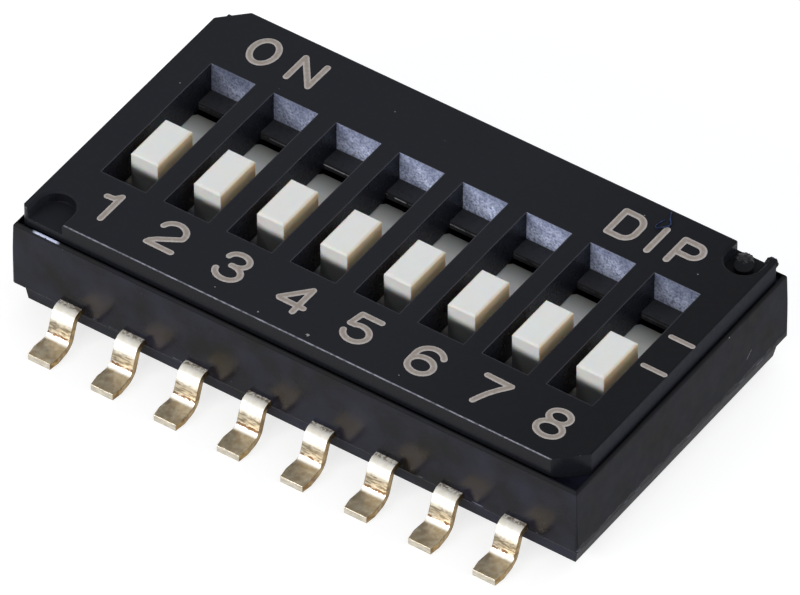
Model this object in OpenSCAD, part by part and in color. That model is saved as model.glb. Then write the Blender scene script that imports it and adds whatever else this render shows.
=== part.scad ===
// Slide switch bank for surface mounting: a row of small on-off slides in one moulded housing,
// with gull-wing leads along both long sides. Millimetres. The origin is the centre of the row
// on the plane that the solder feet stand on; X runs along the row, +Y is the ON side, +Z is up.

/* [Row] */
// Number of switches in the row
ways = 8; // [2:1:12]
// Distance between neighbouring switches
pitch = 1.27; // [1.2:0.01:1.6]

/* [Base] */
// Base beyond the last pitch at each end, at the parting line
end_margin = 0.57; // [0.5:0.01:0.9]
// Width of the base at the parting line
base_wid = 6.24; // [6.1:0.02:7]
// Height of the base's top face above the feet
base_top = 1.88; // [1.8:0.01:2.2]
// Air gap between the board and the base's underside
stand_off = 0.2; // [0.1:0.01:0.3]
// How far the end walls lean in from the parting line to the top
draft_x = 0.04; // [0:0.01:0.12]
// How far the long walls lean in from the parting line to the top
draft_y = 0.02; // [0:0.01:0.05]
// Step at the parting line, where the lower half is smaller
part_step = 0.02; // [0.01:0.01:0.04]
// How far the lower half leans in from the parting line to the underside
lower_lean = 0.08; // [0:0.01:0.1]
// Rounding of the top edges across the ends
end_round = 0.08; // [0.04:0.01:0.1]
// Rounding of the top edges along the sides
side_round = 0.07; // [0.02:0.01:0.1]
// Rounding of the upright edges
upright_round = 0.06; // [0.05:0.01:0.12]
// Thin rim around the shallow seat that the cover sits in
rim = 0.05; // [0.04:0.01:0.08]
// Depth of that seat below the base's top face
seat_deep = 0.1; // [0.05:0.01:0.15]
// Outer wall around the pocket for the cover's inner block
wall = 0.5; // [0.4:0.01:0.54]
// Wall between neighbouring cells
partition = 0.25; // [0.15:0.01:0.27]
// Length along the row of the notch under two opposite corners
notch_x = 0.26; // [0.1:0.01:0.3]
// Width across the row of that notch
notch_y = 0.3; // [0.1:0.01:0.4]

/* [Cover] */
// Shadow gap between the cover's sides and the base's rim
cover_gap = 0.05; // [0.02:0.01:0.06]
// Height of the cover above the base's top face
cover_rise = 0.36; // [0.3:0.01:0.5]
// Cut at two opposite corners of the cover
corner_cut = 0.48; // [0.3:0.01:0.6]
// Rounding of the cover's other two corners
corner_round = 0.12; // [0.05:0.01:0.13]
// Rounding along the cover's top edges
cover_round = 0.03; // [0.01:0.01:0.05]
// Width of each slot
slot_wid = 0.9; // [0.8:0.01:0.92]
// Length of each slot
slot_len = 3.17; // [3:0.01:3.4]
// Depth of the slot down to the ledges at its ends
slot_deep = 0.6; // [0.5:0.01:0.65]
// Length of the ledge at each end of a slot
ledge_len = 0.38; // [0.2:0.01:0.5]
// Thickness of the ledges
ledge_t = 0.15; // [0.1:0.01:0.2]
// Radius of the round-ended gate recess in each of those two corners
gate_r = 0.34; // [0.3:0.01:0.36]
// Depth of the gate recess
gate_deep = 0.22; // [0.1:0.01:0.25]
// Bevel around the top of the gate recess
gate_bevel = 0.04; // [0.02:0.01:0.05]
// Middle of the gate recess from the cover's end
gate_x = 0.48; // [0.46:0.01:0.55]
// Middle of its round end from the cover's long side
gate_y = 0.32; // [0.2:0.01:0.4]
// Radius of the gate stub left in one recess
stub_r = 0.17; // [0.08:0.01:0.2]
// Height of the gate stub
stub_h = 0.09; // [0.05:0.01:0.15]

/* [Slider] */
// Travel from OFF to ON
travel = 0.96; // [0.8:0.01:1.1]
// Width of the knob
knob_wid = 0.54; // [0.4:0.01:0.7]
// Length of the knob
knob_len = 1; // [0.8:0.01:1.2]
// Height of the knob above the cover's top face
knob_proud = 0.05; // [0:0.01:0.3]
// Bevel around the knob's top
knob_bevel = 0.03; // [0.01:0.01:0.06]
// Length of the slider's foot plate
plate_len = 3.2; // [2.8:0.01:3.4]
// Thickness of the foot plate
plate_t = 0.35; // [0.3:0.01:0.4]
// Cut at the foot plate's corners
plate_cut = 0.08; // [0.05:0.01:0.2]
// Radius of the stud that locates the contact
stud_r = 0.12; // [0.08:0.01:0.15]
// Clearance around the moving slider
run_gap = 0.03; // [0.02:0.01:0.05]
// Clearance at each end of the slider's travel
end_gap = 0.05; // [0.03:0.01:0.1]

/* [Contact] */
// Thickness of the contact's spring strip
spring_t = 0.07; // [0.05:0.01:0.09]
// Width of the contact
spring_wid = 0.56; // [0.4:0.01:0.7]
// Distance from the contact's middle to each touching point
reach = 0.8; // [0.7:0.01:0.85]
// Half-length of the flat middle
flat_half = 0.3; // [0.22:0.01:0.4]
// Width of the slit that parts each end into two fingers
slit_wid = 0.1; // [0.06:0.01:0.14]
// Rise of the curled tip
curl_h = 0.1; // [0.05:0.01:0.15]
// Gap left between the touching point and the pad
touch_gap = 0.01; // [0.01:0.005:0.02]

/* [Leads] */
// Width of a lead outside the base
lead_wid = 0.44; // [0.3:0.01:0.6]
// Thickness of a lead
lead_t = 0.13; // [0.1:0.01:0.15]
// Height of a lead's underside where it leaves the base
lead_exit = 0.52; // [0.48:0.01:0.56]
// Straight run from the base to the upper bend
lead_out = 0.16; // [0.15:0.01:0.3]
// How far the riser leans outwards
lead_lean = 0.19; // [0.1:0.01:0.3]
// Length of the foot from the lower bend to the tip
foot_len = 0.58; // [0.4:0.01:0.8]
// Radius of the upper bend on the strip's centre line
knee_r = 0.12; // [0.1:0.01:0.15]
// Radius of the lower bend on the strip's centre line
heel_r = 0.19; // [0.1:0.01:0.25]
// How far the pressed foot bulges on each side
foot_swell = 0.03; // [0:0.01:0.05]
// Distance from the tip back to the widest part of the foot
swell_back = 0.21; // [0.1:0.01:0.3]
// Width of the contact pad inside the base
pad_wid = 0.7; // [0.62:0.01:0.85]
// How deep the pad's shoulders sit in the base's side wall
pad_hold = 0.42; // [0.2:0.01:0.6]
// How far the near pad runs on past the contact
pad_lap = 0.22; // [0.1:0.01:0.3]

/* [Hidden] */
BEND_STEPS = 8;
EDGE_STEPS = 4;
OVER = 1;
SIDES = ["near", "far"];

row = ways * pitch;
base_x = row / 2 + end_margin;
base_y = base_wid / 2;
top_x = base_x - draft_x;
top_y = base_y - draft_y;
seat_x = top_x - rim;
seat_y = top_y - rim;
seat_z = base_top - seat_deep;
cover_x = seat_x - cover_gap;
cover_y = seat_y - cover_gap;
cover_top = base_top + cover_rise;
ledge_top = cover_top - slot_deep;
cover_under = ledge_top - ledge_t;
pocket_x = top_x - wall;
pocket_y = top_y - wall;
floor_z = lead_exit + lead_t;
cell_wid = pitch - partition;
cell_half = travel / 2 + plate_len / 2 + end_gap;
plate_top = cover_under - run_gap;
plate_under = plate_top - plate_t;
off_y = -travel / 2;
window_len = slot_len - 2 * ledge_len;
near_pad_end = off_y + travel - reach + pad_lap;
far_pad_end = reach;
knee = base_y + lead_out;
heel = knee + lead_lean;
tip = heel + foot_len;

function at(i) = (i - (ways + 1) / 2) * pitch;

// ---- Bent strip ----

function unit(v) = v / norm(v);
function left_of(v) = [-v[1], v[0]];
function spin(v, a) = [v[0] * cos(a) - v[1] * sin(a), v[0] * sin(a) + v[1] * cos(a)];

// The arc of radius r that rounds corner b between a and c
function bend(a, b, c, r) =
    let (u = unit(a - b), v = unit(c - b), half = acos(u * v) / 2)
    let (centre = b + unit(u + v) * r / sin(half))
    let (start = b + u * r / tan(half) - centre)
    let (turn = sign(cross(v, u)) * (180 - 2 * half))
    [for (k = [0:BEND_STEPS]) centre + spin(start, turn * k / BEND_STEPS)];

// The line through the points p with its inner corners rounded to the radii r, in order
function bent(p, r) = [
    p[0],
    for (i = [1:len(p) - 2]) each bend(p[i - 1], p[i], p[i + 1], r[i - 1]),
    p[len(p) - 1]
];

// How far the strip's edge lies from its centre line at point i, as a vector
function mitre(p, i, t) =
    let (before = left_of(unit(p[max(i, 1)] - p[max(i, 1) - 1])))
    let (last = len(p) - 1)
    let (after = left_of(unit(p[min(i, last - 1) + 1] - p[min(i, last - 1)])))
    let (n = unit(before + after))
    n * t / 2 / (n * after);

// The outline of a strip of thickness t along the line p
function strip(p, t) = concat(
    [for (i = [0:len(p) - 1]) p[i] + mitre(p, i, t)],
    [for (i = [len(p) - 1:-1:0]) p[i] - mitre(p, i, t)]
);

// ---- Shared solids ----

// A [y, z] outline drawn out along X to the width wid, centred
module across(wid) {
    translate([-wid / 2, 0, 0])
        rotate([90, 0, 90])
            linear_extrude(wid) children();
}

// An [x, z] outline drawn out along Y to the length len, centred
module along(len) {
    translate([0, len / 2, 0])
        rotate([90, 0, 0])
            linear_extrude(len) children();
}

// A box centred on X and Y, from z0 up to z1
module block(x, y, z0, z1) {
    translate([-x / 2, -y / 2, z0]) cube([x, y, z1 - z0]);
}

// A quarter circle of radius r around [x, y], from the angle a on
function quarter(x, y, r, a) =
    [for (k = [0:EDGE_STEPS]) let (t = a + 90 * k / EDGE_STEPS) [x + r * cos(t), y + r * sin(t)]];

// What its children show at one corner, and again half a turn round
module both_corners() {
    children();
    rotate([0, 0, 180]) children();
}

// ---- Base ----

// Half of the base's outline from the end or the side, h wide at the parting line
function base_side(h, draft, r) = [
    [h - part_step - lower_lean, stand_off],
    [h - part_step, lead_exit],
    [h, lead_exit],
    each quarter(h - draft - r, base_top - r, r, 0)
];

function mirrored(half) = concat(
    half,
    [for (i = [len(half) - 1:-1:0]) [-half[i][0], half[i][1]]]
);

module base_plan() {
    r = upright_round;
    x = base_x - r;
    y = base_y - r;
    polygon(concat(
        quarter(x, y, r, 0),
        quarter(-x, y, r, 90),
        quarter(-x, -y, r, 180),
        quarter(x, -y, r, 270)
    ));
}

module base_shell() {
    intersection() {
        along(base_wid + OVER) polygon(mirrored(base_side(base_x, draft_x, end_round)));
        across(2 * base_x + OVER) polygon(mirrored(base_side(base_y, draft_y, side_round)));
        translate([0, 0, stand_off]) linear_extrude(base_top) base_plan();
    }
}

// The notch under the near left and far right corners
module corner_notch() {
    translate([-base_x - OVER, -base_y - OVER, stand_off - OVER])
        cube([notch_x + OVER, notch_y + OVER, lead_exit - stand_off + OVER]);
}

module base() {
    color([0.05, 0.05, 0.06])
        difference() {
            base_shell();
            block(2 * seat_x, 2 * seat_y, seat_z, base_top + OVER);
            block(2 * pocket_x, 2 * pocket_y, cover_under, base_top);
            for (i = [1:ways]) {
                translate([at(i), 0, 0]) block(cell_wid, 2 * cell_half, floor_z, base_top);
                for (side = SIDES) lead_solid(i, side);
            }
            both_corners() corner_notch();
        }
}

// ---- Cover ----

// The cover's plan: two opposite corners are cut off and the other two are rounded
module cover_plan() {
    x = cover_x;
    y = cover_y;
    c = corner_cut;
    r = corner_round;
    polygon(concat(
        [[x - c, -y], [x, c - y]],
        quarter(x - r, y - r, r, 0),
        [[c - x, y], [-x, y - c]],
        quarter(r - x, r - y, r, 180)
    ));
}

// Half of the cover's outline from the end or the side, h wide
function cover_side(h) = [
    [h, seat_z],
    each quarter(h - cover_round, cover_top - cover_round, cover_round, 0)
];

module cover_lid() {
    intersection() {
        translate([0, 0, seat_z]) linear_extrude(cover_top - seat_z) cover_plan();
        along(2 * cover_y + OVER) polygon(mirrored(cover_side(cover_x)));
        across(2 * cover_x + OVER) polygon(mirrored(cover_side(cover_y)));
    }
}

module slot() {
    block(slot_wid, slot_len, ledge_top, cover_top + OVER);
    block(slot_wid, window_len, cover_under - OVER, ledge_top + OVER);
}

// A round-ended recess that runs out through the near side, with a bevel around its top
module gate_recess() {
    r = gate_r;
    b = gate_bevel;
    translate([gate_x - cover_x, gate_y - cover_y, cover_top]) {
        translate([0, 0, -gate_deep]) cylinder(r = r, h = gate_deep + OVER, $fn = 64);
        translate([0, 0, -b]) cylinder(r1 = r, r2 = r + b + OVER, h = b + OVER, $fn = 64);
        translate([0, -gate_y - OVER, 0])
            rotate([-90, 0, 0])
                linear_extrude(gate_y + OVER)
                    polygon(mirrored([[r, gate_deep], [r, b], [r + b + OVER, -OVER]]));
    }
}

module gate_stub() {
    translate([cover_x - gate_x, cover_y - gate_y, cover_top - gate_deep])
        cylinder(r = stub_r, h = stub_h, $fn = 32);
}

module cover() {
    color([0.08, 0.08, 0.1]) {
        difference() {
            union() {
                cover_lid();
                block(2 * (pocket_x - run_gap), 2 * (pocket_y - run_gap), cover_under, base_top);
            }
            for (i = [1:ways]) translate([at(i), 0, 0]) slot();
            both_corners() gate_recess();
        }
        gate_stub();
    }
}

// ---- Slider ----

module knob() {
    top = cover_top + knob_proud;
    x = knob_wid / 2;
    y = knob_len / 2;
    b = knob_bevel;
    intersection() {
        along(knob_len) polygon(mirrored([[x, plate_top], [x, top - b], [x - b, top]]));
        across(knob_wid) polygon(mirrored([[y, plate_top], [y, top - b], [y - b, top]]));
    }
}

module foot_plate() {
    x = cell_wid / 2 - run_gap;
    y = plate_len / 2;
    c = plate_cut;
    translate([0, 0, plate_under])
        linear_extrude(plate_t)
            polygon(concat(
                [[x - c, -y], [x, c - y], [x, y - c], [x - c, y]],
                [[c - x, y], [-x, y - c], [-x, c - y], [c - x, -y]]
            ));
}

module slider(i) {
    color([0.9, 0.89, 0.86])
        translate([at(i), off_y, 0]) {
            knob();
            foot_plate();
            translate([0, 0, plate_under - spring_t])
                cylinder(r = stud_r, h = spring_t, $fn = 32);
        }
}

// ---- Contact ----

// Centre line of half the contact, from its middle to its curled tip
function finger_line() =
    let (top = plate_under - spring_t / 2)
    let (low = floor_z + touch_gap + spring_t / 2)
    [[0, top], [flat_half, top], [reach, low], [reach + curl_h, low + curl_h]];

module contact_half() {
    across(spring_wid) polygon(strip(bent(finger_line(), [spring_t, spring_t]), spring_t));
}

// The slit between the two fingers of one end
module slit() {
    translate([-slit_wid / 2, flat_half + spring_t, floor_z])
        cube([slit_wid, reach, plate_under - floor_z]);
}

module contact(i) {
    color([0.85, 0.66, 0.35])
        translate([at(i), off_y, 0])
            difference() {
                union() {
                    contact_half();
                    mirror([0, 1, 0]) contact_half();
                }
                both_corners() slit();
                translate([0, 0, floor_z])
                    cylinder(r = stud_r + run_gap, h = plate_under, $fn = 32);
            }
}

// ---- Leads ----

// Centre line of a lead on the far side, from inside the base to the tip of its foot
function lead_line(inner) =
    let (high = lead_exit + lead_t / 2)
    [[inner, high], [knee, high], [heel, lead_t / 2], [tip, lead_t / 2]];

// The lead's plan: straight sides that swell along the foot and close in again to its tip
module lead_plan(inner) {
    x = lead_wid / 2;
    polygon(mirrored([
        [x, inner - OVER],
        [x, heel],
        [x + foot_swell, tip - swell_back],
        [x, tip],
        [x, tip + OVER]
    ]));
}

module lead(inner) {
    intersection() {
        across(lead_wid + OVER) polygon(strip(bent(lead_line(inner), [knee_r, heel_r]), lead_t));
        translate([0, 0, -OVER]) linear_extrude(base_top + OVER) lead_plan(inner);
    }
    translate([-pad_wid / 2, inner, lead_exit])
        cube([pad_wid, cell_half + pad_hold - inner, lead_t]);
}

module lead_solid(i, side) {
    translate([at(i), 0, 0])
        if (side == "near") {
            mirror([0, 1, 0]) lead(-near_pad_end);
        } else {
            lead(far_pad_end);
        }
}

// ---- The pieces ----

base();
cover();
for (i = [1:ways]) {
    slider(i);
    contact(i);
    for (side = SIDES) {
        union() {
            color([0.86, 0.72, 0.45]) lead_solid(i, side);
        }
    }
}
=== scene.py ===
"""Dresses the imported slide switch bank: materials, lettering, lint, floor, light and camera.

Everything is in metres, in the frame of the CAD part: X along the row, +Y the ON side, +Z up.
"""

import math

import bmesh
import bpy
import numpy as np
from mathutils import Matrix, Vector, noise


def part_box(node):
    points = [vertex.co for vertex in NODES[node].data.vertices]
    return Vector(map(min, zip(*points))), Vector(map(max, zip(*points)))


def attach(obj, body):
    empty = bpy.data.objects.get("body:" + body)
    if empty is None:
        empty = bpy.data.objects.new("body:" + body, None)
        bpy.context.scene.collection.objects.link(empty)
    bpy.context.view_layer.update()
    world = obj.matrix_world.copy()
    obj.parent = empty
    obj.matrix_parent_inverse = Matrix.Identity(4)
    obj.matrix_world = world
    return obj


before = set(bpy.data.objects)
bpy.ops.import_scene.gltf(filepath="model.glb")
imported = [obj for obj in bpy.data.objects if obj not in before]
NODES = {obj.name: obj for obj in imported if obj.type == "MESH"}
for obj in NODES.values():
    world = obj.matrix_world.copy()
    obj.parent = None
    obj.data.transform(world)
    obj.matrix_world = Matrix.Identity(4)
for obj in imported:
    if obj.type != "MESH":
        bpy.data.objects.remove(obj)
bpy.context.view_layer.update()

MM = 0.001
UM = 0.000001
WHITE = (1, 1, 1, 1)
BLACK = (0, 0, 0, 1)
WAYS = 8
COVER_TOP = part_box("cover")[1][2]

# ---- Camera -------------------------------------------------------------------------------

AZIMUTH = math.radians(34.479)
ELEVATION = math.radians(43.954)
LENS_MM = 643.6
SENSOR_MM = 36
CAMERA_DISTANCE = 236.97 * MM
AIM_SIDEWAYS = 0.0098 * MM
AIM_UP = 0.5414 * MM


def make_camera():
    """The camera that was fitted to the photograph's edges."""
    back = Vector((
        math.sin(AZIMUTH) * math.cos(ELEVATION),
        -math.cos(AZIMUTH) * math.cos(ELEVATION),
        math.sin(ELEVATION),
    ))
    right = Vector((0, 0, 1)).cross(back).normalized()
    up = back.cross(right)
    data = bpy.data.cameras.new("camera")
    data.lens = LENS_MM
    data.sensor_width = SENSOR_MM
    data.clip_start = 0.02
    data.clip_end = 5
    camera = bpy.data.objects.new("camera", data)
    camera.location = right * AIM_SIDEWAYS + up * AIM_UP + back * CAMERA_DISTANCE
    camera.rotation_mode = "QUATERNION"
    camera.rotation_quaternion = (-back).to_track_quat("-Z", "Y")
    bpy.context.scene.collection.objects.link(camera)
    bpy.context.scene.camera = camera


make_camera()

# ---- Building materials from nodes --------------------------------------------------------


class Shader:
    """A material under construction: a Principled BSDF and the nodes that feed it."""

    def __init__(self, name, **settings):
        self.material = bpy.data.materials.new(name)
        self.material.use_nodes = True
        self.tree = self.material.node_tree
        self.bsdf = self.tree.nodes["Principled BSDF"]
        self.set(**settings)
        self.coords = self.add("ShaderNodeTexCoord").outputs["Object"]

    def add(self, kind, inputs=None, **attributes):
        """A new node with its attributes set, and each input either linked or given a value."""
        new = self.tree.nodes.new(kind)
        for key, value in attributes.items():
            setattr(new, key, value)
        for key, value in (inputs or {}).items():
            self.feed(new.inputs[key], value)
        return new

    def feed(self, socket, value):
        """Links value to the socket if it is another node's output, and sets it if not."""
        if isinstance(value, bpy.types.NodeSocket):
            self.tree.links.new(value, socket)
        else:
            socket.default_value = value

    def set(self, **values):
        """Feeds the Principled BSDF's sockets, which are named with _ for each space."""
        for key, value in values.items():
            self.feed(self.bsdf.inputs[key.replace("_", " ")], value)

    def math(self, operation, first, second=0.0):
        node = self.add("ShaderNodeMath", operation=operation)
        self.feed(node.inputs[0], first)
        self.feed(node.inputs[1], second)
        return node.outputs[0]

    def product(self, *factors):
        result = factors[0]
        for factor in factors[1:]:
            result = self.math("MULTIPLY", result, factor)
        return result

    def noise(self, size, detail=3.0, stretch=(1, 1, 1)):
        """A cloudy value around 0.5, whose blotches are about size metres across."""
        scaled = self.add("ShaderNodeMapping", {"Vector": self.coords, "Scale": stretch})
        texture = self.add("ShaderNodeTexNoise", {
            "Vector": scaled.outputs[0], "Scale": 1 / size, "Detail": detail,
        })
        return texture.outputs["Fac"]

    def specks(self, spacing, radius, share):
        """Round specks: 1 inside each one, 0 around it. Only a share of the places has one."""
        texture = self.add("ShaderNodeTexVoronoi", {"Vector": self.coords, "Scale": 1 / spacing})
        near = self.spread(texture.outputs["Distance"], radius / spacing, 0.6 * radius / spacing)
        chance = self.add("ShaderNodeSeparateColor", {"Color": texture.outputs["Color"]})
        return self.product(near, self.math("GREATER_THAN", chance.outputs[0], 1 - share))

    def spread(self, value, low, high, to_low=0.0, to_high=1.0):
        """value, with the range from low to high carried over to that from to_low to to_high."""
        node = self.add("ShaderNodeMapRange", {
            "Value": value, "From Min": low, "From Max": high, "To Min": to_low, "To Max": to_high,
        })
        return node.outputs["Result"]

    def between(self, value, low, high, soft):
        """1 where value lies between low and high, and 0 outside, with soft borders."""
        rise = self.spread(value, low - soft, low + soft)
        fall = self.spread(value, high + soft, high - soft)
        return self.product(rise, fall)

    def mix(self, amount, first, second):
        """A colour that goes from first to second as amount goes from 0 to 1."""
        node = self.add("ShaderNodeMix", {"Factor": amount}, data_type="RGBA")
        colours = [s for s in node.inputs if s.type == "RGBA"]
        self.feed(colours[0], first)
        self.feed(colours[1], second)
        return next(s for s in node.outputs if s.type == "RGBA")

    def place(self):
        """X, Y and Z of the surface's place on the part."""
        return self.add("ShaderNodeSeparateXYZ", {"Vector": self.coords}).outputs

    def facing(self):
        """X, Y and Z of the way that the surface faces."""
        geometry = self.add("ShaderNodeNewGeometry")
        normal = geometry.outputs["True Normal"]
        return self.add("ShaderNodeSeparateXYZ", {"Vector": normal}).outputs

    def magnitude(self, value):
        return self.math("ABSOLUTE", value)

    def larger(self, first, second):
        return self.math("MAXIMUM", first, second)

    def rest_of(self, amount):
        """What is left of 1 when amount is taken away."""
        return self.math("SUBTRACT", 1.0, amount)

    def edges(self, radius):
        """1 along sharp edges, 0 on the open faces further than about radius metres from them."""
        rounding = self.add("ShaderNodeBevel", {"Radius": radius}, samples=8)
        true = self.add("ShaderNodeNewGeometry").outputs["True Normal"]
        turned = self.add(
            "ShaderNodeVectorMath", {0: rounding.outputs[0], 1: true}, operation="DOT_PRODUCT"
        )
        return self.spread(turned.outputs["Value"], 0.98, 0.86)

    def relief(self, height, depth, edge=0.0):
        """Bumps the surface by height times depth metres, over edges rounded to edge metres."""
        bump = self.add("ShaderNodeBump", {"Height": height, "Distance": depth, "Strength": 1.0})
        if edge:
            rounding = self.add("ShaderNodeBevel", {"Radius": edge}, samples=6)
            self.feed(bump.inputs["Normal"], rounding.outputs[0])
        self.feed(self.bsdf.inputs["Normal"], bump.outputs[0])


def tinted(value, tint=(0.88, 0.94, 1.25)):
    """A grey of the given level with a tint, cool if none is named."""
    return (value * tint[0], value * tint[1], value * tint[2], 1)


# ---- The materials ------------------------------------------------------------------------

# About where the CAD shapes lie that the materials follow
PARTING_Z = 0.56 * MM
BASE_TOP_Z = 1.88 * MM
LEDGE_TOP_Z = 1.64 * MM
LEDGE_EDGE_Y = 1.2 * MM
SLOT_END_Y = 1.6 * MM
PLATE_TOP_Z = 1.46 * MM
LEAD_CREASE_Z = 0.21 * MM
LEAD_KNEE_Y = 3.15 * MM
LEAD_TIP_Y = -4.05 * MM


def base_plastic():
    """Black moulded plastic: glossy and wavy along the sides, matt and grainy on the ends.

    The ends are scuffed below the parting line. Pale paint stands for the glints on the parting
    line's broken burr and on a chip in the rim beside one corner.
    """
    s = Shader("base_plastic", Specular_IOR_Level=0.15)
    x, y, z = s.place()
    facing = s.facing()
    ends = s.spread(s.magnitude(facing[0]), 0.6, 0.8)
    lower = s.spread(facing[2], -0.1, -0.18)
    rounded = s.spread(z, BASE_TOP_Z - 0.09 * MM, BASE_TOP_Z - 0.06 * MM)

    clouds = s.spread(s.noise(0.8 * MM, detail=4), 0.35, 0.65)
    clouded = s.mix(clouds, tinted(0.003), tinted(0.016, (0.86, 0.94, 1.8)))
    # Painted shade: the band along the rounded top edge is darkened, and the end faces half as
    # much, to stand for how little light they send back.
    shaded_edge_and_ends = s.larger(s.product(rounded, 0.8), s.product(ends, 0.5))
    body = s.mix(shaded_edge_and_ends, clouded, tinted(0.002))

    streaks = s.spread(s.noise(0.06 * MM, detail=4, stretch=(1, 0.12, 1)), 0.45, 0.65)
    uneven = s.spread(s.noise(0.25 * MM, detail=5), 0, 1, -0.125 * MM, 0.125 * MM)
    below = s.spread(s.math("ADD", z, uneven), PARTING_Z + 0.08 * MM, PARTING_Z + 0.03 * MM)
    scuffed = s.product(ends, below, s.spread(streaks, 0, 1, 0.45, 1.0))
    greyed = s.mix(scuffed, body, (0.068, 0.066, 0.070, 1))
    dusty = s.mix(s.specks(0.2 * MM, 0.012 * MM, 0.14), greyed, tinted(0.08))

    # Painted highlight: a pale patch on the rim's rounded edge beside one corner stands for the
    # glint on a chip there.
    chip_glint = s.product(
        s.between(x, -5.2 * MM, -4.72 * MM, 0.04 * MM),
        s.spread(z, BASE_TOP_Z - 0.038 * MM, BASE_TOP_Z - 0.024 * MM),
        s.spread(y, -3.0 * MM, -3.04 * MM),
        s.spread(s.noise(0.06 * MM), 0.3, 0.4),
    )
    # Painted highlight: a broken pale line along the parting line stands for the glint on its burr.
    burr_glint = s.product(
        s.between(z, PARTING_Z - 0.01 * MM, PARTING_Z + 0.008 * MM, 0.005 * MM),
        s.spread(s.noise(0.3 * MM, detail=5), 0.56, 0.66),
    )
    gloss = s.spread(s.noise(0.2 * MM), 0.35, 0.65, 0.15, 0.21)
    matt = s.larger(s.larger(ends, lower), rounded)
    s.set(
        Base_Color=s.mix(s.larger(chip_glint, s.product(burr_glint, 0.3)), dusty, tinted(0.75)),
        Roughness=s.math("ADD", gloss, s.product(matt, 0.45)),
    )
    ripples = s.math("ADD", s.noise(0.03 * MM), s.product(s.noise(0.5 * MM, detail=1), 7.0))
    s.relief(ripples, 0.5 * UM, edge=0.03 * MM)
    return s.material


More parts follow.
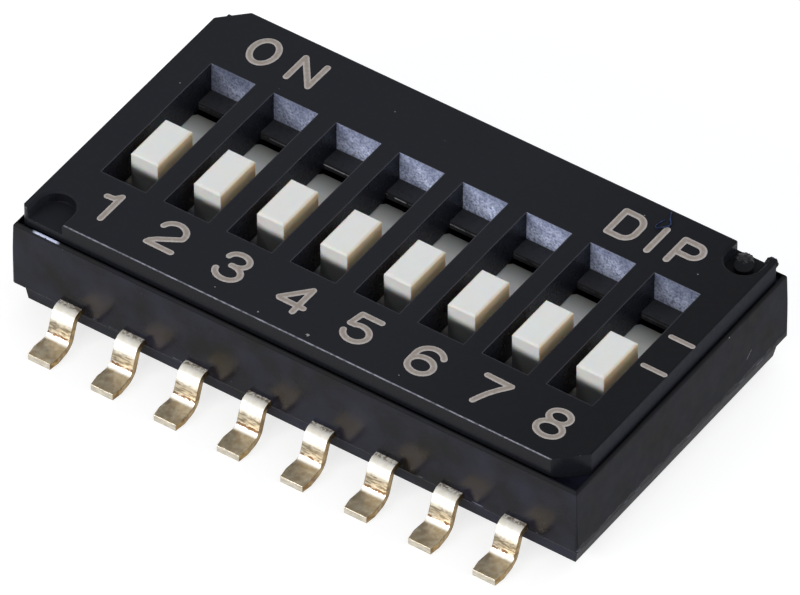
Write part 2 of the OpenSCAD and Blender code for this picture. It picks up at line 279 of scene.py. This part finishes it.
def cover_plastic():
    """The cover's black plastic: fine even grain, and a coarse grain painted pale and cool on the
    slots' far walls to stand for the light they catch.

    Pale paint along its long rims and the slots' edges stands for their edge highlights, and a
    broken pale line on the far ledges' edges stands for their glint.
    """
    s = Shader("cover_plastic", Specular_IOR_Level=0.11)
    x, y, z = s.place()
    facing = s.facing()
    out_x = s.magnitude(x)
    ends = s.product(
        s.spread(s.magnitude(facing[0]), 0.8, 0.9),
        s.spread(out_x, 5.2 * MM, 5.3 * MM),
    )
    front = s.spread(facing[1], -0.6, -0.8)
    flat = s.product(s.spread(facing[2], 0.45, 0.55), s.spread(z, 1.8 * MM, 1.9 * MM))
    open_side = s.larger(front, s.spread(facing[2], 0.8, 0.9))
    ledge = s.product(s.spread(z, 1.8 * MM, 1.7 * MM), open_side)

    # The flat top is darker than the walls, and darkens further in cloudy patches towards +X.
    patches = s.spread(s.noise(1.6 * MM), 0, 1, -0.15, 0.15)
    darker_rightwards = s.product(flat, s.math("ADD", patches, s.spread(x, 1.0 * MM, 5.0 * MM)))
    top = s.mix(darker_rightwards, s.mix(flat, tinted(0.0185), tinted(0.0148)), tinted(0.0078))
    # Painted light and shade: the cover's end faces are made paler, and its near faces darker, than
    # the rest to stand for how the light falls on them.
    sides = s.mix(ends, s.mix(front, top, tinted(0.010)), tinted(0.024))
    # Painted light: the upward and forward faces low in the slots, the far ledges' top and near
    # faces among them, are made paler to stand for the light they catch.
    body = s.mix(ledge, sides, tinted(0.058, (1, 1, 1.1)))
    dusty = s.mix(s.specks(0.3 * MM, 0.012 * MM, 0.10), body, tinted(0.10))

    # Painted light: the far walls, which face the key, are painted pale and cool in a coarse grain,
    # brightest in the slots near the middle of the row and low on the wall.
    far_wall = s.product(
        front,
        s.between(y, SLOT_END_Y - 0.1 * MM, SLOT_END_Y + 0.1 * MM, 0.01 * MM),
        s.spread(z, LEDGE_TOP_Z - 0.02 * MM, LEDGE_TOP_Z + 0.02 * MM),
    )
    from_middle = s.magnitude(s.math("SUBTRACT", x, 0.3 * MM))
    lively = s.spread(from_middle, 1.5 * MM, 5.0 * MM, 1.0, 0.4)
    grain = s.spread(s.noise(0.042 * MM, detail=6), 0.27, 0.68)
    smudges = s.spread(s.noise(0.25 * MM, detail=3), 0.4, 0.6, 0.75, 1.2)
    painted_shading = s.product(grain, smudges, s.spread(z, 1.8 * MM, 2.2 * MM, 1.2, 0.45))
    painted_wall_light = s.mix(painted_shading, tinted(0.18, (0.80, 0.95, 1.65)), tinted(0.88, (0.90, 0.98, 1.30)))
    walled = s.mix(s.product(far_wall, lively), dusty, painted_wall_light)

    _, half_width, top_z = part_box("cover")[1]
    out_y = s.math("SUBTRACT", s.magnitude(y), half_width)
    below_rim = s.math("ADD", out_y, s.math("SUBTRACT", z, top_z))
    # Painted highlights: pale paint along the long rims' top edges and the slots' edges stands for
    # the light that these rounded edges catch.
    rim = s.product(
        s.spread(below_rim, -0.024 * MM, -0.018 * MM),
        s.spread(s.noise(0.08 * MM, detail=4), 0.35, 0.6, 0.35, 1.0),
    )
    slot_edges = s.product(
        s.edges(0.03 * MM),
        s.spread(z, COVER_TOP - 0.05 * MM, COVER_TOP - 0.03 * MM),
        s.spread(out_y, -1.2 * MM, -1.3 * MM),
    )
    painted_edge_highlights = s.larger(rim, s.product(slot_edges, 0.22))
    with_edge_highlights = s.mix(painted_edge_highlights, walled, tinted(0.36, (0.95, 0.96, 1.15)))
    # Painted highlight: a broken near-white line low on the far ledges' near face stands for its
    # glint, strongest near x = -1.2 mm.
    from_glint_middle = s.magnitude(s.math("ADD", x, 1.2 * MM))
    ledge_glint = s.product(
        front,
        s.between(y, LEDGE_EDGE_Y - 0.05 * MM, LEDGE_EDGE_Y + 0.05 * MM, 0.01 * MM),
        s.between(z, LEDGE_TOP_Z - 0.07 * MM, LEDGE_TOP_Z - 0.043 * MM, 0.006 * MM),
        s.spread(s.noise(0.14 * MM, detail=4), 0.38, 0.46),
        s.spread(from_glint_middle, 0.9 * MM, 2.6 * MM, 1.0, 0.1),
    )
    gloss = s.spread(s.noise(0.1 * MM), 0.3, 0.7, 0.24, 0.34)
    s.set(
        Base_Color=s.mix(ledge_glint, with_edge_highlights, (0.95, 0.95, 1, 1)),
        Roughness=s.math("ADD", gloss, s.product(s.larger(ends, flat), 0.35)),
    )
    s.relief(s.noise(0.016 * MM), 0.5 * UM, edge=0.024 * MM)
    return s.material


def slider_plastic():
    """White moulded plastic, a little translucent and satin, with a warm yellow tint painted on its
    sides for the glow of light through them.

    Shade is painted on where the slot shelters it: on the plate's ends and low on the knob's near
    face.
    """
    # Painted light: the warm tint on the side faces stands for the glow of light through the
    # translucent plastic.
    side_glow_tint = (1.0, 0.745, 0.465, 1)
    far_shade_tint = (0.28, 0.28, 0.26, 1)
    near_shade_tint = (0.15, 0.15, 0.16, 1)
    s = Shader(
        "slider_plastic",
        Specular_IOR_Level=0.4,
        Subsurface_Weight=0.5,
        Subsurface_Radius=(1.0, 0.55, 0.3),
        Subsurface_Scale=0.08 * MM,
    )
    _, y, z = s.place()
    facing = s.facing()
    sides = s.spread(s.magnitude(facing[0]), 0.6, 0.9)
    front = s.spread(facing[1], -0.6, -0.8)
    plate = s.spread(z, PLATE_TOP_Z + 0.04 * MM, PLATE_TOP_Z + 0.02 * MM)
    # Painted shade: the plate is darkened towards its far end, where the slot's far wall shades it.
    shaded_far_end = s.product(plate, s.spread(y, 0.7 * MM, 1.1 * MM))
    # Painted shade: the plate in front of the knob is darkened to near black, where the slot shades
    # it.
    shaded_near_end = s.product(plate, s.spread(y, -0.6 * MM, -0.9 * MM))
    # Painted shadow: the knob's near face is darkened by 40 per cent below the line where the
    # slot's near edge shades it.
    shadowed_low_front = s.product(front, s.spread(z, 1.97 * MM, 1.86 * MM))

    clean = s.mix(s.noise(0.4 * MM), (0.81, 0.81, 0.785, 1), (0.85, 0.85, 0.835, 1))
    with_far_shade = s.mix(shaded_far_end, clean, far_shade_tint)
    with_front_shadow = s.mix(s.product(shadowed_low_front, 0.4), with_far_shade, BLACK)
    with_end_shade = s.mix(shaded_near_end, with_front_shadow, near_shade_tint)
    s.set(
        Base_Color=s.mix(sides, with_end_shade, side_glow_tint),
        Roughness=s.spread(s.noise(0.05 * MM), 0.3, 0.7, 0.36, 0.5),
    )
    s.relief(s.noise(0.03 * MM), 0.5 * UM, edge=0.045 * MM)
    return s.material


def lead_gold():
    """Thin pale gold over stamped strip: bright bends, browner flats and coppery sheared sides.

    The riser's lower half is painted tan for the shaded floor that it mirrors, and is streaked;
    the bends are creased brown. The shoulder is pale, matt plating that shines little like metal.
    """
    tarnish = (0.15, 0.09, 0.05, 1)
    s = Shader("lead_gold")
    _, y, z = s.place()
    facing = s.facing()
    sheared = s.spread(s.magnitude(facing[0]), 0.6, 0.8)
    level = s.spread(facing[2], 0.95, 0.99)

    lines = s.noise(0.035 * MM, detail=4, stretch=(1, 0.3, 0.3))
    blots = s.spread(s.noise(0.12 * MM, detail=5), 0.4, 0.62)
    across = s.spread(s.noise(0.03 * MM, detail=4, stretch=(0.22, 1, 1)), 0.4, 0.6)
    uneven = s.product(s.math("SUBTRACT", s.noise(0.05 * MM, detail=4), 0.5), 0.07 * MM)
    ragged = s.math("ADD", z, uneven)

    # Painted shade: the band up the lower riser takes the tan colour, standing for the shaded floor
    # that the gold mirrors there; the streaks in the tan are the strip's own.
    painted_shading = s.between(ragged, 0.22 * MM, 0.43 * MM, 0.045 * MM)
    crease = s.product(
        s.between(ragged, LEAD_CREASE_Z - 0.025 * MM, LEAD_CREASE_Z + 0.025 * MM, 0.006 * MM),
        s.spread(s.noise(0.09 * MM, detail=2), 0.36, 0.5, 0.35, 1.0),
    )
    knee = s.product(
        s.between(s.magnitude(y), LEAD_KNEE_Y - 0.05 * MM, LEAD_KNEE_Y + 0.05 * MM, 0.025 * MM),
        s.spread(s.noise(0.045 * MM, detail=3), 0.42, 0.56),
    )
    tip = s.spread(y, LEAD_TIP_Y + 0.05 * MM, LEAD_TIP_Y + 0.01 * MM)
    frosted = s.spread(ragged, 0.52 * MM, 0.6 * MM)
    pressed = s.product(level, s.rest_of(frosted))

    bright = s.mix(blots, (0.93, 0.88, 0.77, 1), (1.0, 0.97, 0.90, 1))
    tan = s.mix(across, (0.19, 0.155, 0.105, 1), (0.46, 0.40, 0.30, 1))
    foot = s.mix(blots, (0.82, 0.66, 0.43, 1), (1.0, 0.88, 0.66, 1))
    cut = s.mix(blots, (0.19, 0.11, 0.036, 1), (0.40, 0.28, 0.12, 1))
    riser = s.mix(s.larger(painted_shading, s.product(tip, 0.6)), bright, tan)
    creased = s.mix(s.larger(crease, s.product(knee, 0.8)), riser, tarnish)
    brushed = s.spread(lines, 0.3, 0.7, 0.3, 0.46)
    s.set(
        Base_Color=s.mix(sheared, s.mix(pressed, creased, foot), cut),
        Metallic=s.rest_of(s.product(frosted, s.rest_of(sheared), 0.95)),
        Roughness=s.math("ADD", brushed, s.product(pressed, 0.03)),
    )
    s.relief(s.math("ADD", lines, blots), 1.0 * UM, edge=0.02 * MM)
    return s.material


def contact_gold():
    """The sliding contact's gilt spring strip, with fine lines along it."""
    s = Shader("contact_gold", Metallic=1.0)
    lines = s.noise(0.03 * MM, stretch=(1, 0.12, 0.12))
    s.set(
        Base_Color=s.mix(s.noise(0.2 * MM), (0.86, 0.62, 0.28, 1), (0.93, 0.74, 0.40, 1)),
        Roughness=s.spread(lines, 0.3, 0.7, 0.22, 0.36),
    )
    s.relief(lines, 0.5 * UM, edge=0.02 * MM)
    return s.material


MATERIALS = {
    "base": base_plastic(),
    "cover": cover_plastic(),
    "slider": slider_plastic(),
    "contact": contact_gold(),
    "lead": lead_gold(),
}


def dress_nodes():
    """Gives every CAD node its material by the kind of piece that its name says."""
    for name, node in NODES.items():
        kind = next(k for k in MATERIALS if k in name)
        node.data.materials.clear()
        node.data.materials.append(MATERIALS[kind])


dress_nodes()

# ---- Lettering ----------------------------------------------------------------------------

STROKE = 0.118 * MM
BOLD_STROKE = 0.126 * MM
TICK_STROKE = 0.098 * MM
INK_HEIGHT = 0.008 * MM
INK_SINKS = 0.3  # how deep the underside lies, as a share of the height
CELL = 0.014 * MM  # side of the cells that a character's outline is traced on
PRINT_TILT = math.radians(-0.49)

DIGIT_PITCH = 1.28 * MM
DIGIT_SHIFT = 0.15 * MM
DIGIT_ROW = -2.24 * MM
WORD_ROW = 2.28 * MM
WORD_ON = {"O": -4.345 * MM, "N": -3.475 * MM}
WORD_DIP = {"D": 2.99 * MM, "I": 3.575 * MM, "P": 4.18 * MM}
TICK_X = 5.26 * MM
TICK_ROWS = (0.527 * MM, -0.283 * MM)


def arc(x, y, rx, ry, start, end):
    """Points on an ellipse around x, y between two angles in degrees."""
    steps = max(4, round(abs(end - start) / 12))
    angles = [math.radians(start + (end - start) * k / steps) for k in range(steps + 1)]
    return [(x + rx * math.cos(a), y + ry * math.sin(a)) for a in angles]


# Each character's strokes around its own middle, in millimetres
GLYPHS = {
    "1": [[(0.10, -0.31), (0.10, 0.31), (0.015, 0.205), (-0.12, 0.19)]],
    "2": [arc(0, 0.1, 0.232, 0.21, 165, -15)
          + [(0.155, 0.0), (0.03, -0.077), (-0.126, -0.17), (-0.215, -0.25), (-0.245, -0.31),
             (0.245, -0.31)]],
    "3": [arc(0, 0.17, 0.2, 0.15, 175, -90) + [(-0.04, 0.02)],
          arc(0, -0.15, 0.23, 0.17, 90, -175)],
    "4": [[(0.13, -0.305), (0.13, 0.30), (-0.255, -0.125), (-0.235, -0.145), (0.235, -0.145)]],
    "5": [[(0.215, 0.31), (-0.17, 0.31), (-0.225, 0.035)]
          + arc(-0.005, -0.12, 0.23, 0.19, 125, -168)],
    "6": [arc(0.03, 0.07, 0.255, 0.245, 30, 180) + arc(0.005, -0.13, 0.23, 0.19, 180, -180)],
    "7": [[(-0.245, 0.31), (0.235, 0.30), (0.10, 0.12), (0.0, -0.04), (-0.06, -0.17),
           (-0.115, -0.31)]],
    "8": [arc(0, 0.175, 0.195, 0.15, 0, 360), arc(0, -0.145, 0.235, 0.175, 0, 360)],
    "O": [arc(0, 0, 0.228, 0.295, 0, 360)],
    "N": [[(-0.22, -0.285), (-0.22, 0.285), (0.216, -0.28), (0.22, 0.285)]],
    "D": [[(-0.215, -0.29), (-0.215, 0.29), (0.02, 0.29)] + arc(0.02, 0.08, 0.2, 0.21, 90, 0)
          + arc(0.02, -0.08, 0.2, 0.21, 0, -90) + [(-0.215, -0.29)]],
    "I": [[(0, -0.295), (0, 0.295)]],
    "P": [[(-0.22, -0.29), (-0.22, 0.28), (0.05, 0.28)] + arc(0.05, 0.12, 0.16, 0.16, 90, -90)
          + [(-0.22, -0.04)]],
    "tick": [[(-0.21, 0), (0.21, 0)]],
}


def ink():
    """Warm pale printing ink, thinner and browner along the middle of each stroke."""
    s = Shader("ink", Specular_IOR_Level=0.3)
    depth = s.add("ShaderNodeAttribute", attribute_name="depth").outputs["Fac"]
    blots = s.spread(s.noise(0.06 * MM, detail=4), 0.35, 0.65, -0.25, 0.25)
    s.set(
        Base_Color=s.mix(
            s.math("ADD", s.spread(depth, 0.25, 0.7), blots),
            (0.47, 0.43, 0.41, 1),
            (0.31, 0.26, 0.225, 1),
        ),
        Roughness=s.spread(s.noise(0.03 * MM), 0.3, 0.7, 0.5, 0.7),
    )
    s.relief(s.noise(0.02 * MM), 0.8 * UM)
    return s.material


INK_MATERIAL = ink()


def stroke_distance(points, strokes):
    """The distance of each point from the nearest of the strokes' straight pieces."""
    nearest = np.full(len(points), np.inf)
    for stroke in strokes:
        for start, end in zip(stroke[:-1], stroke[1:]):
            a, b = np.array(start) * MM, np.array(end) * MM
            way = b - a
            along = np.clip((points - a) @ way / (way @ way), 0, 1)
            nearest = np.minimum(nearest, np.linalg.norm(points - a - along[:, None] * way, axis=1))
    return nearest


def inked_cells(field, xs, ys, edge):
    """The cells' outlines, cut along the line where field equals edge, as lists of corner keys."""
    corners = {}
    faces = []

    def corner(key, place, value):
        if key not in corners:
            corners[key] = (len(corners), place, value)
        return corners[key][0]

    for i in range(len(xs) - 1):
        for j in range(len(ys) - 1):
            ring = [(i, j), (i + 1, j), (i + 1, j + 1), (i, j + 1)]
            values = [field[p] for p in ring]
            if min(values) >= edge:
                continue
            face = []
            for k, p in enumerate(ring):
                q, value, after = ring[(k + 1) % 4], values[k], values[(k + 1) % 4]
                if value < edge:
                    face.append(corner(p, (xs[p[0]], ys[p[1]]), value))
                if (value < edge) != (after < edge):
                    t = (edge - value) / (after - value)
                    px = xs[p[0]] + t * (xs[q[0]] - xs[p[0]])
                    py = ys[p[1]] + t * (ys[q[1]] - ys[p[1]])
                    face.append(corner((min(p, q), max(p, q)), (px, py), edge))
            if len(face) > 2:
                faces.append(face)
    return corners, faces


def printed(name, glyph, x, y, width=STROKE):
    """One printed character: a thin pad of ink on the cover, domed at its borders."""
    strokes = GLYPHS[glyph]
    points = np.array([p for stroke in strokes for p in stroke]) * MM
    low, high = points.min(axis=0) - width, points.max(axis=0) + width
    xs = np.arange(low[0], high[0], CELL)
    ys = np.arange(low[1], high[1], CELL)
    grid = np.stack(np.meshgrid(xs, ys, indexing="ij"), axis=-1)
    field = stroke_distance(grid.reshape(-1, 2), strokes).reshape(len(xs), len(ys))
    edge = width / 2
    corners, faces = inked_cells(field, xs, ys, edge)
    count = len(corners)
    vertices, depth = [], []
    for side in (1, -INK_SINKS):
        for _, (px, py), value in corners.values():
            rise = INK_HEIGHT * (1 - min(value / edge, 1) ** 4)
            vertices.append((px, py, side * rise))
            depth.append(1 - value / edge)
    bottoms = [[count + k for k in reversed(face)] for face in faces]
    mesh = bpy.data.meshes.new(name)
    mesh.from_pydata(vertices, [], faces + bottoms)
    mesh.attributes.new("depth", "FLOAT", "POINT").data.foreach_set("value", depth)
    mesh.polygons.foreach_set("use_smooth", [True] * len(mesh.polygons))
    cos, sin = math.cos(PRINT_TILT), math.sin(PRINT_TILT)
    for v in mesh.vertices:
        px, py = x + v.co.x, y + v.co.y
        v.co = (px * cos - py * sin, px * sin + py * cos, COVER_TOP + v.co.z)
    mesh.validate()
    piece = bpy.data.objects.new(name, mesh)
    bpy.context.scene.collection.objects.link(piece)
    weld(piece)
    mesh.materials.append(INK_MATERIAL)
    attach(piece, "housing")


def weld(piece):
    """Joins the corners that lie on each other, so that the top and the underside close up."""
    bm = bmesh.new()
    bm.from_mesh(piece.data)
    bmesh.ops.remove_doubles(bm, verts=bm.verts, dist=0.01 * UM)
    bm.to_mesh(piece.data)
    bm.free()


def print_legends():
    """The digits along the near side, the two words on the far side and the two ticks."""
    for i in range(1, WAYS + 1):
        x = DIGIT_SHIFT + (i - (WAYS + 1) / 2) * DIGIT_PITCH
        printed(f"digit_{i}", str(i), x, DIGIT_ROW)
    for letter, x in WORD_ON.items():
        printed(f"word_on_{letter}", letter, x, WORD_ROW)
    for letter, x in WORD_DIP.items():
        printed(f"word_dip_{letter}", letter, x, WORD_ROW, BOLD_STROKE)
    for k, y in enumerate(TICK_ROWS, start=1):
        printed(f"tick_{k}", "tick", TICK_X, y, TICK_STROKE)


print_legends()

# ---- Lint, dust and torn plastic ----------------------------------------------------------


def plain(name, first, second, size, roughness=0.7, rough_depth=2 * UM):
    """A material of one roughness that wavers between two colours."""
    s = Shader(name, Specular_IOR_Level=0.25, Roughness=roughness)
    s.set(Base_Color=s.mix(s.spread(s.noise(size, detail=4), 0.4, 0.6), first, second))
    s.relief(s.noise(size * 0.5), rough_depth)
    return s.material


LINT = plain("lint", (0.006, 0.014, 0.05, 1), (0.025, 0.06, 0.17, 1), 0.05 * MM)
DUST = plain("dust", (0.16, 0.155, 0.15, 1), (0.42, 0.41, 0.40, 1), 0.03 * MM)
TORN = plain(
    "torn_plastic", (0.005, 0.005, 0.006, 1), (0.03, 0.03, 0.035, 1), 0.04 * MM,
    roughness=0.3, rough_depth=0.8 * UM,
)

FIBRE_SMOOTHINGS = 3

# In millimetres: X, Y and size on the cover's top, and Y, Z and size on the base's end
COVER_FLECKS = (
    (0.14, -2.85, 0.034), (-0.84, -2.86, 0.016), (-1.76, -2.78, 0.012), (1.9, -2.78, 0.011),
    (-5.05, 0.9, 0.011), (3.1, 2.62, 0.012), (4.6, 1.95, 0.012), (-1.7, 2.35, 0.011),
)
END_FLECKS = (
    (1.38, 1.80, 0.022), (-1.92, 0.575, 0.024), (0.62, 0.60, 0.018), (0.49, 0.84, 0.012),
    (-0.49, 0.82, 0.012), (0.40, 0.95, 0.010),
)
END_FACE_X = 5.645
END_LEAN = 0.03


def added(name, bm, material):
    """Makes an object of a finished bmesh, smooth shaded, that rides on the housing."""
    bmesh.ops.recalc_face_normals(bm, faces=bm.faces)
    for face in bm.faces:
        face.smooth = True
    mesh = bpy.data.meshes.new(name)
    bm.to_mesh(mesh)
    bm.free()
    mesh.materials.append(material)
    piece = bpy.data.objects.new(name, mesh)
    bpy.context.scene.collection.objects.link(piece)
    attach(piece, "housing")


def lump(bm, centre, radii, seed, unevenness=0.35, detail=3):
    """Adds an uneven closed blob around a point, all in millimetres."""
    made = bmesh.ops.create_icosphere(bm, subdivisions=detail, radius=1.0)["verts"]
    for v in made:
        swell = 1 + unevenness * noise.noise(v.co * 1.7 + Vector((seed * 7.3, seed, 0)))
        swell += 0.4 * unevenness * noise.noise(v.co * 5.0 + Vector((seed, 0, seed * 3.1)))
        v.co = (Vector(centre) + Vector(v.co[k] * swell * radii[k] for k in range(3))) * MM


def fibre(bm, points, radius, sides=8):
    """Adds a thin round thread along points in millimetres, closed and narrowed at its ends."""
    spine = [Vector(p) for p in points]
    for _ in range(FIBRE_SMOOTHINGS):
        cut = [spine[0]]
        for p, q in zip(spine[:-1], spine[1:]):
            cut += [p.lerp(q, 0.25), p.lerp(q, 0.75)]
        spine = cut + [spine[-1]]
    rings = []
    for k, point in enumerate(spine):
        way = spine[min(k + 1, len(spine) - 1)] - spine[max(k - 1, 0)]
        side = way.cross(Vector((0.1, 0.2, 1))).normalized()
        lift = side.cross(way).normalized()
        thin = radius * (0.5 if k in (0, len(spine) - 1) else 1.0)
        angles = [2 * math.pi * t / sides for t in range(sides)]
        ring = [point + (side * math.cos(a) + lift * math.sin(a)) * thin for a in angles]
        rings.append([bm.verts.new(place * MM) for place in ring])
    for near, far in zip(rings[:-1], rings[1:]):
        for t in range(sides):
            bm.faces.new((near[t], near[(t + 1) % sides], far[(t + 1) % sides], far[t]))
    bm.faces.new(rings[0])
    bm.faces.new(rings[-1])


def make_lint():
    """The blue fibre that lies on the cover beside the word at its right."""
    top = COVER_TOP / MM + 0.006
    bm = bmesh.new()
    strand = [(3.43, 2.93), (3.50, 2.78), (3.58, 2.70), (3.59, 2.62), (3.54, 2.56), (3.46, 2.48)]
    loop = [(3.44, 2.72), (3.405, 2.60), (3.39, 2.50), (3.45, 2.46), (3.51, 2.55), (3.56, 2.60)]
    fibre(bm, [(x, y, top + 0.004 * k) for k, (x, y) in enumerate(strand)], 0.011)
    fibre(bm, [(x, y, top + 0.003 * k) for k, (x, y) in enumerate(loop)], 0.009)
    added("lint", bm, LINT)


def make_dust():
    """Pale flecks on the cover, and the thin scratch and the flecks on the base's end."""
    top = COVER_TOP / MM
    bm = bmesh.new()
    for seed, (x, y, size) in enumerate(COVER_FLECKS, start=1):
        lump(bm, (x, y, top + 0.002), (size, 0.8 * size, 0.4 * size), seed, 0.6, 2)
    added("dust_on_cover", bm, DUST)
    bm = bmesh.new()
    for seed, (y, z, size) in enumerate(END_FLECKS, start=20):
        x = END_FACE_X - END_LEAN * (z - PARTING_Z / MM)
        lump(bm, (x, y, z), (0.15 * size, size, 0.8 * size), seed, 0.4, 2)
    fibre(bm, [(5.630, 2.02, 1.03), (5.632, 1.95, 0.975), (5.634, 1.88, 0.92)], 0.007)
    added("dust_on_end", bm, DUST)


def make_gate_marks():
    """The torn top of the gate stub, and the lump at the end of the recess's outer wall."""
    bm = bmesh.new()
    lump(bm, (4.97, 2.80, 2.095), (0.15, 0.14, 0.02), 3, 0.5, 4)
    lump(bm, (4.92, 2.88, 2.11), (0.02, 0.06, 0.02), 5, 0.6, 3)
    lump(bm, (5.02, 2.76, 2.11), (0.05, 0.02, 0.02), 6, 0.6, 3)
    added("gate_tear", bm, TORN)
    bm = bmesh.new()
    lump(bm, (5.40, 2.93, 2.13), (0.115, 0.13, 0.115), 9, 0.25, 4)
    added("gate_lump", bm, MATERIALS["cover"])


make_lint()
make_dust()
make_gate_marks()

# ---- Stage --------------------------------------------------------------------------------

FLOOR_HALF = 0.6
FLOOR_COLOUR = 0.4
FLOOR_GLOW = 0.76
SEEN_TOWARD = (0, 0.7, 1)
SEEN_DARKEST = 0.3
FILL_TOWARD = (0.42, 0.91, 0)
FILL_COLOUR = (0.94, 0.97, 1.0, 1)
FILL_FRONT = 0.03
FILL_BACK = 1.2
LIGHT_DISTANCE = 0.5


def make_floor():
    """A floor that takes the part's shadow, and glows only where it is seen or mirrored."""
    mesh = bpy.data.meshes.new("floor")
    corners = [(x * FLOOR_HALF, y * FLOOR_HALF, 0) for x, y in ((-1, -1), (1, -1), (1, 1), (-1, 1))]
    mesh.from_pydata(corners, [], [(0, 1, 2, 3)])
    floor = bpy.data.objects.new("floor", mesh)
    bpy.context.scene.collection.objects.link(floor)
    s = Shader("floor_white", Roughness=0.9, Specular_IOR_Level=0.1)
    s.set(Base_Color=(FLOOR_COLOUR, FLOOR_COLOUR, FLOOR_COLOUR, 1))
    path = s.add("ShaderNodeLightPath").outputs
    seen = s.larger(path["Is Camera Ray"], path["Is Glossy Ray"])
    seen = s.larger(seen, path["Is Transmission Ray"])
    s.set(Emission_Color=WHITE, Emission_Strength=s.product(seen, FLOOR_GLOW))
    mesh.materials.append(s.material)


def make_world():
    """What is seen is white all round and over the front, and dim above the back.

    The soft fill, which is what matt surfaces get from it, comes from the back and the right.
    """
    world = bpy.data.worlds.new("studio")
    world.use_nodes = True
    nodes, links = world.node_tree.nodes, world.node_tree.links
    way = nodes.new("ShaderNodeTexCoord").outputs["Generated"]

    def graded(background, toward, start, end, first, last):
        """Grades a background from first to last along a direction, between start and end."""
        along = nodes.new("ShaderNodeVectorMath")
        along.operation = "DOT_PRODUCT"
        links.new(way, along.inputs[0])
        along.inputs[1].default_value = toward
        level = nodes.new("ShaderNodeMapRange")
        links.new(along.outputs["Value"], level.inputs["Value"])
        ends = {"From Min": start, "From Max": end, "To Min": first, "To Max": last}
        for key, value in ends.items():
            level.inputs[key].default_value = value
        links.new(level.outputs[0], background.inputs["Strength"])

    seen = nodes.new("ShaderNodeBackground")
    seen.inputs["Color"].default_value = WHITE
    graded(seen, SEEN_TOWARD, start=0.93, end=1.06, first=1.0, last=SEEN_DARKEST)
    fill = nodes["Background"]
    fill.inputs["Color"].default_value = FILL_COLOUR
    graded(fill, FILL_TOWARD, start=-0.3, end=0.4, first=FILL_FRONT, last=FILL_BACK)
    path = nodes.new("ShaderNodeLightPath").outputs
    direct = path["Is Camera Ray"]
    for kind in ("Is Glossy Ray", "Is Transmission Ray"):
        either = nodes.new("ShaderNodeMath")
        either.operation = "MAXIMUM"
        links.new(direct, either.inputs[0])
        links.new(path[kind], either.inputs[1])
        direct = either.outputs[0]
    pick = nodes.new("ShaderNodeMixShader")
    links.new(direct, pick.inputs[0])
    links.new(fill.outputs[0], pick.inputs[1])
    links.new(seen.outputs[0], pick.inputs[2])
    links.new(pick.outputs[0], nodes["World Output"].inputs[0])
    bpy.context.scene.world = world


def area_light(name, azimuth, elevation, wide, high, level, colour=(1, 1, 1)):
    """A soft light that faces the part. Azimuth 0 is in front of it, on the -Y side.

    level is how bright it alone would show a white surface that faces it.
    """
    a, e = math.radians(azimuth), math.radians(elevation)
    way = Vector((math.sin(a) * math.cos(e), -math.cos(a) * math.cos(e), math.sin(e)))
    data = bpy.data.lights.new(name, "AREA")
    data.shape = "RECTANGLE"
    data.size = wide
    data.size_y = high
    data.energy = level * math.pi ** 2 * LIGHT_DISTANCE ** 2
    data.color = colour
    light = bpy.data.objects.new(name, data)
    light.location = way * LIGHT_DISTANCE
    light.rotation_mode = "QUATERNION"
    light.rotation_quaternion = way.to_track_quat("Z", "Y")
    light.visible_camera = False
    bpy.context.scene.collection.objects.link(light)


make_floor()
make_world()
area_light(
    "key", azimuth=-14, elevation=21.5, wide=0.42, high=0.09, level=0.76,
    colour=(1.0, 0.995, 0.985),
)
area_light("glint", azimuth=-34.5, elevation=44, wide=0.05, high=0.05, level=0.04)
bpy.context.scene.view_settings.view_transform = "Standard"
